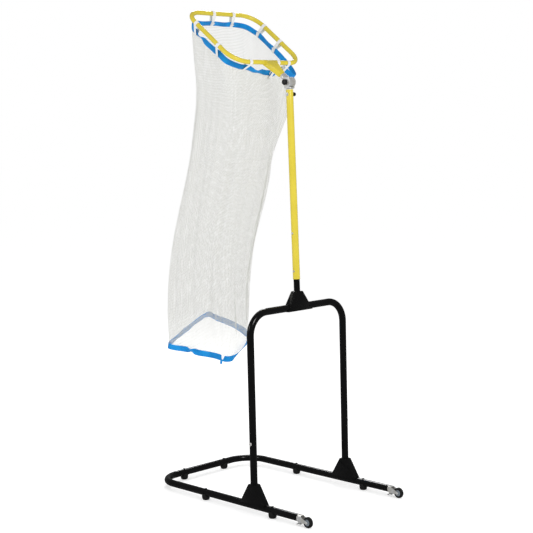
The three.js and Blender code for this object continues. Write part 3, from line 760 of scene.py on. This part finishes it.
# ---- straps, tapes and net ----
def wave(seed, counts, falloff=0.7):
    """A smooth closed wave round a ring, about one unit high; it drifts as the second number grows."""
    draw = random.Random(seed)
    terms = [(n, draw.uniform(0, 2 * math.pi), draw.uniform(-1.6, 1.6), n ** -falloff) for n in counts]
    total = math.sqrt(sum(term[3] ** 2 for term in terms) / 2)

    def height(share, drift=0.0):
        angles = [2 * math.pi * n * share + start + turn * drift for n, start, turn, _ in terms]
        heights = [term[3] * np.cos(angle) for term, angle in zip(terms, angles)]
        return sum(heights) / total / 1.6

    return height


def strip_mesh(name, rows, thickness, closed, widths):
    """A thin closed band from rows of points across it; its strip map is in millimetres along and across."""
    count, wide = len(rows), len(rows[0])
    lines = np.array([[tuple(p) for p in row] for row in rows])
    ahead = np.roll(lines, -1, 0) - np.roll(lines, 1, 0)
    if not closed:
        ahead[0] = lines[1] - lines[0]
        ahead[-1] = lines[-1] - lines[-2]
    sideways = np.gradient(lines, axis=1)
    normal = np.cross(ahead, sideways)
    normal /= np.linalg.norm(normal, axis=2, keepdims=True)
    thin = np.full(wide, thickness / 2)
    thin[[0, -1]] *= 0.35
    top, under = lines + normal * thin[:, None], lines - normal * thin[:, None]
    points = np.concatenate([top, under[:, ::-1]], axis=1)
    ring = 2 * wide
    faces, maps = [], []
    length = np.concatenate([[0], np.cumsum(np.linalg.norm(np.diff(lines[:, wide // 2], axis=0), axis=1))])
    last = length[-1] + np.linalg.norm(lines[0, wide // 2] - lines[-1, wide // 2])
    across = np.concatenate([widths, widths[::-1]])
    for k in range(count if closed else count - 1):
        n = (k + 1) % count
        ends = (length[k], last if n == 0 else length[n])
        for i in range(ring):
            j = (i + 1) % ring
            faces.append([k * ring + i, k * ring + j, n * ring + j, n * ring + i])
            maps.append([(ends[e], across[k]) for e, k in ((0, i), (0, j), (1, j), (1, i))])
    if not closed:
        for k, flip in ((0, True), (count - 1, False)):
            face = [k * ring + i for i in range(ring)]
            spots = [(length[k], across[i]) for i in range(ring)]
            faces.append(face[::-1] if flip else face)
            maps.append(spots[::-1] if flip else spots)
    mesh = bpy.data.meshes.new(name)
    mesh.from_pydata((points.reshape(-1, 3) * MM).tolist(), [], faces)
    layer = mesh.uv_layers.new(name="strip")
    layer.data.foreach_set("uv", np.array([uv for spots in maps for uv in spots], np.float32).ravel())
    mesh.update()
    return mesh


HEM_HALF = (HOOP_HALF_X - HEM_IN, HOOP_HALF_Y - HEM_IN)
HEM_BEND = HOOP_BEND - HEM_IN
# [name, side the strap is on, place along that side, direction from the tube to the hem in degrees]
STRAPS = (
    ("front_near", (-HOOP_HALF_X, -45), 0), ("front_far", (-HOOP_HALF_X, 87), 0),
    ("far_upper", (-112, HOOP_HALF_Y), -90), ("far_lower", (27, HOOP_HALF_Y), -90),
    ("post_far", (HOOP_HALF_X, 126), 180), ("post_middle", (HOOP_HALF_X, 55), 180),
    ("post_near", (HOOP_HALF_X, -126), 180),
    ("near_lower", (82, -HOOP_HALF_Y), 90), ("near_upper", (-106, -HOOP_HALF_Y), 90),
)


def ring_share(x, y):
    """How far round the hem ring the nearest point to (x, y) lies."""
    shares = np.linspace(0, 1, 720, endpoint=False)
    gaps = [math.dist(rounded_ring(*HEM_HALF, HEM_BEND, s)[0], (x, y)) for s in shares]
    return float(shares[int(np.argmin(gaps))])


HELD = sorted(ring_share(x, y) for _, (x, y), _ in STRAPS)


def slack(share):
    """0 where a strap holds the top hem, up to 1 between straps, more on the longer spans."""
    share = share % 1.0
    after_it = next((h for h in HELD if h > share), HELD[0] + 1)
    before_it = next((h for h in reversed(HELD) if h <= share), HELD[-1] - 1)
    span = after_it - before_it
    reach = (share - before_it) / span
    return min(1.0, span / 0.16) * math.sin(math.pi * reach) ** 1.3


top_twist = wave(11, (3, 4, 5, 7, 9), 0.4)
top_ripple = wave(5, (6, 9, 13, 17), 0.5)


def bulge(share, at, width):
    """1 at one place round a ring, falling smoothly to 0 about two widths either side."""
    gap = (share - at + 0.5) % 1.0 - 0.5
    return math.exp(-(gap / width) ** 2)


# Where the top hem leaves its even line: [share of the way round, width, twist, outward mm, downward mm]
TOP_FOLDS = (
    (0.703, 0.018, -1.1, 2, 5), (0.965, 0.022, -0.55, 6, 12), (0.012, 0.026, 0.2, 10, 18),
    (0.050, 0.022, 0.1, 12, 24), (0.122, 0.018, -0.3, 52, 26), (0.345, 0.02, 0.2, 2, 4),
    (0.83, 0.03, 0.1, 5, -7), (0.875, 0.03, 0.1, 4, -6),
)


def folded(share, folds):
    """How far a hem's folds twist it, push it outward and pull it down at a share of the way round."""
    sizes = [(bulge(share, at, width), moves) for at, width, *moves in folds]
    return [sum(size * moves[k] for size, moves in sizes) for k in range(3)]


def top_hem_row(share, across):
    """A point of the top hem in the hoop's frame, from 0 at its upper edge to 1 at its lower edge."""
    (x, y), (nx, ny) = rounded_ring(*HEM_HALF, HEM_BEND, share)
    loose = slack(share)
    twist, push, down = folded(share, TOP_FOLDS)
    angle = (0.12 + 0.3 * loose) * 0.75 * float(top_twist(share)) + twist
    inward = 3.5 * loose * float(top_ripple(share)) - push
    middle = (HEM_TOP + HEM_FOOT) / 2 - 4 * loose - down
    reach = (across - 0.5) * (HEM_TOP - HEM_FOOT)
    out = -inward + reach * math.sin(angle) + 1.2 * loose * math.sin(math.pi * across)
    return Vector((x + nx * out, y + ny * out, middle - reach * math.cos(angle)))


ACROSS = np.linspace(0, 1, 7)


def top_tape():
    count = 360
    rows = [[HOOP @ top_hem_row(i / count, a) for a in ACROSS] for i in range(count)]
    high = HEM_TOP - HEM_FOOT
    mesh = strip_mesh("top_tape", rows, TAPE_THICK, True, (ACROSS - 0.5) * high)
    tape = finished("top_tape", mesh, "hoop", "blue_tape", BLUE, "top_hem", sharp=70)


HEM_MIDDLE = HOOP @ Vector((0, 0, HEM_FOOT))


def lean_at(drop):
    """How far the net hangs towards -X at a drop below the hem: hardly at first, then at an even slope."""
    past = drop - 180
    return NET_SLOPE * 0.5 * (past + np.hypot(past, 120))


def smooth(value):
    """Eases from 0 to 1."""
    share = np.clip(value, 0, 1)
    return share * share * (3 - 2 * share)


def outlines(shares, half_x, half_y, bend):
    """Points and outward directions at many shares of the way round."""
    found = [rounded_ring(half_x, half_y, bend, s) for s in shares]
    return np.array([f[0] for f in found]), np.array([f[1] for f in found])


NET_ROUND = 1479
NET_LONG = 1440
PITCH = 7.0
TWINE_WIDE = 1.5
# Half the net's size along X and Y: the round it starts from, just under the hem, and further down.
NET_RING = (160, 190)
NET_BEND = 120
NET_CROWN = (150, 196)
NET_MIDDLE = (172, 182)
# The net's four-sided foot, from the middle of its +X side: [X, Y] from the foot's middle, height of the
# lower edge, and how far the corner is rounded.
FOOT_MIDDLE_X = -649.5
FOOT_CORNERS = (
    (212, 27, 674, 30), (170, 133, 712, 50), (30, 182, 752, 60), (-62, 154, 780, 50), (-168, 150, 808, 16),
    (-184, 36, 752, 60), (-88, -202, 690, 24), (-5, -158, 676, 60), (139, -98, 652, 60), (256, -80, 634, 44),
)


def evenly(points, step):
    """Points along a line, a step apart."""
    line = np.array(points, float)
    run = np.concatenate([[0], np.cumsum(np.linalg.norm(np.diff(line, axis=0), axis=1))])
    at = np.linspace(0, run[-1], max(2, round(run[-1] / step) + 1))
    return np.stack([np.interp(at, run, line[:, k]) for k in range(line.shape[1])], axis=1)


def foot_loop():
    """Points round the net's foot, evenly spaced, starting and ending in the middle of its +X side."""
    found = []
    count = len(FOOT_CORNERS)
    for i, (x, y, z, radius) in enumerate(FOOT_CORNERS):
        here = Vector((x, y, z))
        ways = [Vector(FOOT_CORNERS[(i + step) % count][:3]) - here for step in (-1, 1)]
        start, end = (here + way * min(0.48, radius / way.length) for way in ways)
        for step in range(9):
            t = step / 8
            found.append(start * (1 - t) ** 2 + here * 2 * t * (1 - t) + end * t * t)
    line = evenly([tuple(p) for p in (*found[4:], *found[:5])], 2.5)
    line[:, 0] += FOOT_MIDDLE_X + STAND.translation.x
    return line


def foot_at(shares):
    """Point and outward direction at shares of the way round the net's foot."""
    steps = np.linspace(0, 1, len(FOOT))
    ahead = np.gradient(FOOT[:, :2], axis=0)
    ahead /= np.linalg.norm(ahead, axis=1, keepdims=True)
    shares = np.asarray(shares) % 1.0
    point = np.stack([np.interp(shares, steps, FOOT[:, k]) for k in range(3)], axis=-1)
    out = np.stack([np.interp(shares, steps, ahead[:, 1]), -np.interp(shares, steps, ahead[:, 0])], axis=-1)
    return point, out


FOOT = foot_loop()
big_folds = wave(21, (4, 5, 7, 9), 0.8)
pleats = wave(32, (13, 17, 19, 23, 26, 31), 0.5)
crumples = wave(43, (11, 14, 18, 22), 0.3)


def net_points(shares, downs):
    """Points of the net, for shares of the way round it and of the way down it, both arrays of one shape."""
    flat_shares = shares.ravel()
    top = np.array([tuple(HOOP @ top_hem_row(s, 0.86)) for s in flat_shares]).reshape(*shares.shape, 3)
    middle, out = outlines(flat_shares, *NET_RING, NET_BEND)
    middle, out = middle.reshape(*shares.shape, 2), out.reshape(*shares.shape, 2)
    foot, foot_out = foot_at(shares)
    height = top[..., 2] + (foot[..., 2] + 0.14 * NET_HEM - top[..., 2]) * downs
    drop = HEM_MIDDLE.z - height
    settled = smooth(drop / 500)
    wide, deep = ((crown + (lower - crown) * settled) / ring
                  for crown, lower, ring in zip(NET_CROWN, NET_MIDDLE, NET_RING))
    below = top[..., 2] - height
    fallen = smooth(below / 420)
    gathered = smooth((below - 20) / 500)
    turned_in = smooth((downs - 0.35) / 0.65)[..., None]
    out = out + (foot_out - out) * turned_in
    fold = (6.0 * big_folds(shares, 1.5 * downs) + 6.5 * pleats(shares, 2.2 * downs) * gathered
            + 2.2 * crumples(shares, 16 * downs) * gathered)
    fold *= 0.25 + 0.75 * smooth(below / 160)
    fold *= 1 - smooth((downs - 0.88) / 0.1)
    tube = np.stack([HEM_MIDDLE.x - lean_at(drop) + middle[..., 0] * wide, middle[..., 1] * deep], axis=-1)
    hung = tube + (foot[..., :2] - tube) * turned_in + out * fold[..., None]
    across = top[..., :2] + (hung - top[..., :2]) * fallen[..., None] + out * (fold * (1 - fallen))[..., None]
    return np.concatenate([across, height[..., None]], axis=-1)


def grid_of(first, second, lifted):
    """Quads between two lines of points, side by side; lifted moves them a little towards the net's axis."""
    points = np.stack([first, second], axis=2)
    if lifted:
        centre = points.mean(axis=(0, 1, 2))
        inward = centre[:2] - points[..., :2]
        inward /= np.linalg.norm(inward, axis=-1, keepdims=True)
        points[..., :2] += inward * lifted
    return points


def net():
    """Twines down the net and round it, as flat ribbons a pitch apart."""
    downs_count, round_count = round(NET_ROUND / PITCH), round(NET_LONG / PITCH)
    down_count, around = 78, 168
    points, faces = [], []
    half_share = TWINE_WIDE / 2 / NET_ROUND
    shares = np.arange(downs_count) / downs_count
    size = (downs_count, down_count)
    ways = [np.broadcast_to((shares + d)[:, None], size) for d in (-half_share, half_share)]
    steps = np.broadcast_to(np.linspace(0, 1, down_count)[None, :], size)
    ladders = [grid_of(*(net_points(w, steps) for w in ways), 0.0)]
    half_down = TWINE_WIDE / 2 / NET_LONG
    levels = (np.arange(round_count) + 0.5) / round_count
    size = (round_count, around + 1)
    circle = np.broadcast_to((np.arange(around + 1) / around)[None, :], size)
    heights = [np.broadcast_to((levels + d)[:, None], size) for d in (-half_down, half_down)]
    ladders.append(grid_of(*(net_points(circle, h) for h in heights), 0.35))
    for ladder in ladders:
        lines, length = ladder.shape[:2]
        start = sum(len(p) for p in points)
        index = start + np.arange(lines * length * 2).reshape(lines, length, 2)
        quads = np.stack([index[:, :-1, 0], index[:, :-1, 1], index[:, 1:, 1], index[:, 1:, 0]], axis=-1)
        points.append(ladder.reshape(-1, 3))
        faces += quads.reshape(-1, 4).tolist()
    mesh = bpy.data.meshes.new("net_tube")
    mesh.from_pydata((np.concatenate(points) * MM).tolist(), [], faces)
    mesh.update()
    tube = finished("net_tube", mesh, None, "net_mesh", TWINE, "net_body", sharp=80)
    swing = HEM_MIDDLE * MM
    fall = HOOP.to_3x3() @ Vector((0, 0, -0.35))
    swing + fall
    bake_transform(tube)


bottom_ripple = wave(61, (5, 8, 11, 15), 0.5)
bottom_twist = wave(72, (4, 6, 9, 14), 0.4)
SEAM = 0.885
# Folds of the bottom hem: [share of the way round, width, twist, outward mm, downward mm]
BOTTOM_FOLDS = (
    (0.745, 0.012, 0.9, 9, -3), (0.775, 0.02, -0.25, 1, 2), (0.68, 0.03, 0.15, 4, 0),
    (0.985, 0.05, 0.6, 4, 0), (0.37, 0.012, -0.3, 1, 2), (0.24, 0.03, 0.4, 3, -2), (0.16, 0.03, 0.6, 3, 0),
)
TAB_LONG = 25
TAB_WIDE = 15


def bottom_hem_row(share, across):
    """A point of the bottom hem, from 0 at its upper edge to 1 at its lower edge."""
    (x, y, z), (nx, ny) = foot_at(share)
    twist, push, down = folded(share, BOTTOM_FOLDS)
    angle = 0.16 * float(bottom_twist(share)) + twist
    reach = (0.5 - across) * NET_HEM
    out = 1.4 * float(bottom_ripple(share)) + 3.4 + push + reach * math.sin(angle)
    level = z + 0.5 * NET_HEM + 1.5 * float(bottom_twist(share + 0.1)) - down
    return Vector((x + nx * out + reach * NET_SLOPE, y + ny * out, level + reach * math.cos(angle)))


def bottom_tape():
    """One tape round the net's foot, its cut ends parted in a V over a short tab that hangs at the seam."""
    count = 330
    seam_gap = 0.0012
    rows = []
    for share in SEAM + seam_gap + (1 - 2 * seam_gap) * np.linspace(0, 1, count):
        start, end = (math.exp(-abs(share - edge) / 0.006) for edge in (SEAM, SEAM + 1))
        rows.append([bottom_hem_row(share + 0.009 * (1 - a) * (start - end), a) for a in ACROSS])
    mesh = strip_mesh("bottom_tape", rows, TAPE_THICK, False, (ACROSS - 0.5) * NET_HEM)
    tape = finished("bottom_tape", mesh, "net", "blue_tape", BLUE, "bottom_hem", sharp=70)
    top = bottom_hem_row(SEAM - 0.003, 0.72)
    ahead = (bottom_hem_row(SEAM + 0.004, 0.9) - bottom_hem_row(SEAM - 0.008, 0.9)).normalized()
    outward = Vector((ahead.y, -ahead.x, 0))
    rows = []
    wide = (ACROSS - 0.5) * TAB_WIDE
    for t in np.linspace(0, 1, 8):
        spot = top + outward * (1.6 + 2.5 * t * t) - Vector((0, 0, (TAB_LONG - 1) * t)) - ahead * 3 * t
        rows.append([spot + ahead * w * (1 - 0.1 * t) for w in wide])
    tab = strip_mesh("bottom_tab", rows, 1.2, False, wide)
    tab = finished("bottom_tab", tab, "net", "blue_tape", BLUE, sharp=70)


# Straps that reach further, round the slack parts of the hem: [outward mm, downward mm]
LONG_STRAPS = {"post_middle": (17, 36), "post_far": (10, 8)}


def strap_line(outward, down):
    """The tight path round the hoop's tube and the hem, as [x, z] points, from under the hem and back."""
    reach = HEM_IN - outward
    circles = ((0, 0, HOOP_R + 1.0), (reach, HEM_TOP - 2 - down, 2.4), (reach, HEM_FOOT - down, 2.4))
    spots = []
    for x, z, radius in circles:
        for i in range(40):
            angle = 2 * math.pi * i / 40
            spots.append((x + radius * math.cos(angle), z + radius * math.sin(angle)))
    spots.sort()

    def chain(points):
        hull = []
        for p in points:
            while len(hull) > 1:
                (ax, ay), (bx, by) = hull[-2:]
                if (bx - ax) * (p[1] - ay) - (by - ay) * (p[0] - ax) > 0:
                    break
                hull.pop()
            hull.append(p)
        return hull[:-1]

    loop = chain(spots) + chain(spots[::-1])
    lowest = min(range(len(loop)), key=lambda i: loop[i][1])
    return loop[lowest:] + loop[:lowest]


def straps():
    """Hook-and-loop straps: once round the tube and the hem, with the end lapped over and left proud."""
    wide = (ACROSS - 0.5) * STRAP_WIDTH
    for number, (name, (x, y), degrees) in enumerate(STRAPS):
        draw = random.Random(100 + number)
        loop = strap_line(*LONG_STRAPS.get(name, (0, 0)))
        line = evenly([*loop, loop[0]], 2.0)
        turns = np.linspace(0, 1, len(line))
        line[:, 0] += 1.4 * np.sin(math.pi * turns * 2 + draw.uniform(-0.5, 0.5)) * np.sin(math.pi * turns)
        overlap = line[2: 2 + draw.randint(9, 15)].copy()
        lift = np.linspace(0, 1, len(overlap)) ** 2
        overlap[:, 0] += 1.8 + draw.uniform(2, 7) * lift
        strip = np.concatenate([line[:-1], evenly([line[-2], overlap[0] + (0.2, -0.4)], 1.2)[1:], overlap])
        skew, roll = draw.uniform(-0.12, 0.12), draw.uniform(-1.2, 1.2)
        turn = HOOP @ place(x, y, 0) @ Matrix.Rotation(math.radians(degrees), 4, "Z")
        rows = []
        for px, pz in strip:
            depth = -pz / 60
            shift = roll * depth + skew * pz * 0.3
            rows.append([turn @ Vector((px, w * (1 - 0.06 * depth) + shift, pz)) for w in wide])
        mesh = strip_mesh(f"strap_{name}_webbing", rows, 1.1, False, wide)
        finished(f"strap_{name}_webbing", mesh, "hoop", "white_strap", WHITE, f"strap_{name}", sharp=60)


# ---- studio ----
ROOM_LIGHT = 0.70
ROOM_SHEEN = 0.12
# [name, place in metres, size in metres, watts]
LAMPS = (
    ("key", (3.8, -1.4, 3.6), 1.4, 62),
    ("side", (-1.6, -3.8, 2.6), 1.2, 22),
    ("back", (-3.2, 2.8, 3.8), 1.2, 70),
)
LAMPS_AIM = (0, 0, 1.1)
FLOOR_GREY = 0.88
FLOOR_REACH = 60
# The camera: azimuth, elevation and roll in degrees, the point in view in the stand's millimetres, the
# distance in metres and the lens in millimetres.
CAMERA_TURNS = (45.763, 5.898, -1.402)
CAMERA_TARGET = (-4.2, -197.2, 1153.4)
CAMERA_AWAY = 6.0
CAMERA_LENS = 86.77


def studio():
    """A white room: even light on dull surfaces, darker round glossy ones, and three soft lamps."""
    scene = bpy.context.scene
    scene.view_settings.view_transform = "Standard"
    world = bpy.data.worlds.new("studio")
    world.use_nodes = True
    scene.world = world
    room = Nodes(world.node_tree)
    glossy = room.node("LightPath", output="Is Glossy Ray")
    seen = room.node("LightPath", output="Is Camera Ray")
    light = room.node("MapRange", values={"Value": glossy, "To Min": ROOM_LIGHT, "To Max": ROOM_SHEEN})
    background = world.node_tree.nodes["Background"]
    background.inputs["Color"].default_value = (1, 1, 1, 1)
    room.feed(background.inputs["Strength"], room.node("Math", {"operation": "MAXIMUM"}, {0: light, 1: seen}))
    corners = [(x * FLOOR_REACH, y * FLOOR_REACH, 0) for x, y in ((-1, -1), (1, -1), (1, 1), (-1, 1))]
    floor_mesh = mesh_of("floor", Shape(corners, [[0, 1, 2, 3]]))
    floor = bpy.data.objects.new("floor", floor_mesh)
    grey = (FLOOR_GREY, FLOOR_GREY, FLOOR_GREY, 1)
    floor_finish = Finish("pale_floor", base_color=grey, roughness=0.9, specular_ior_level=0.0,
                          emission_color=(1, 1, 1, 1), emission_strength=1 - FLOOR_GREY * ROOM_LIGHT)
    floor_mesh.materials.append(floor_finish.material)
    floor.visible_glossy = False
    scene.collection.objects.link(floor)
    for name, spot, size, power in LAMPS:
        lamp = bpy.data.lights.new(name, "AREA")
        lamp.size = size
        lamp.energy = power
        holder = bpy.data.objects.new(name, lamp)
        holder.location = spot
        holder.rotation_mode = "QUATERNION"
        holder.rotation_quaternion = (Vector(LAMPS_AIM) - Vector(spot)).to_track_quat("-Z", "Y")
        scene.collection.objects.link(holder)


def camera():
    azimuth, elevation, roll = (math.radians(a) for a in CAMERA_TURNS)
    target = (STAND @ Vector(CAMERA_TARGET)) * MM
    level = math.cos(elevation)
    back = Vector((math.sin(azimuth) * level, -math.cos(azimuth) * level, math.sin(elevation)))
    right = Vector((math.cos(azimuth), math.sin(azimuth), 0))
    up = back.cross(right)
    rolled_right = right * math.cos(roll) + up * math.sin(roll)
    rolled_up = up * math.cos(roll) - right * math.sin(roll)
    lens = bpy.data.cameras.new("camera")
    lens.sensor_width = 36
    lens.lens = CAMERA_LENS
    holder = bpy.data.objects.new("camera", lens)
    turn = Matrix((rolled_right, rolled_up, back)).transposed().to_4x4()
    holder.matrix_world = Matrix.Translation(target + back * CAMERA_AWAY) @ turn
    bpy.context.scene.collection.objects.link(holder)
    bpy.context.scene.camera = holder


camera()
base_frame()
upright_frame()
feet()
wheels()
mast_pieces()
tilt_joint()
hoop_frame()
top_tape()
bottom_tape()
straps()
net()
studio()

# The spigots inside the uprights keep their plain shape.
for node in ("leg_spigot_near", "leg_spigot_far"):
    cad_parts[node].data.materials.clear()
    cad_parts[node].data.materials.append(ZINC)
